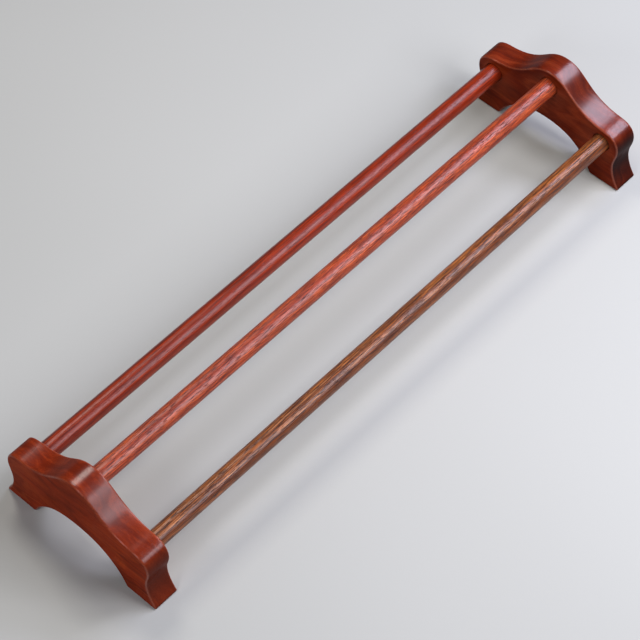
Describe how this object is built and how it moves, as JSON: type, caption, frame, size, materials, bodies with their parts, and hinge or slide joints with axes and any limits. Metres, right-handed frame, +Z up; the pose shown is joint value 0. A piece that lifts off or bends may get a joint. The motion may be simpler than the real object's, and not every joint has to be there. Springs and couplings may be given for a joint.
{
  "type": "three-bar wooden forearm training rack",
  "caption": "Low rack of round wooden bars held between arched end blocks, the middle bar raised under a hump.",
  "frame": {"origin": "on the resting plane, under the middle of the rack", "axes": "+X along the bars towards the far end block, +Y across the feet towards the left side bar, +Z up"},
  "size_m": [0.7, 0.196, 0.1065],
  "materials": {
    "end_block_wood": "clear satin lacquer on red-brown rosewood, grain across the feet",
    "red_bar_wood": "polished fine-grained red-brown hardwood",
    "streaked_bar_wood": "polished red hardwood with fine dark streaks",
    "brown_bar_wood": "polished brown hardwood with dark brown streaks"
  },
  "bodies": {
    "root": {"near_end_block": "end_block_wood", "far_end_block": "end_block_wood", "left_side_bar": "red_bar_wood", "middle_bar": "streaked_bar_wood", "right_side_bar": "brown_bar_wood"}
  },
  "joints": []
}
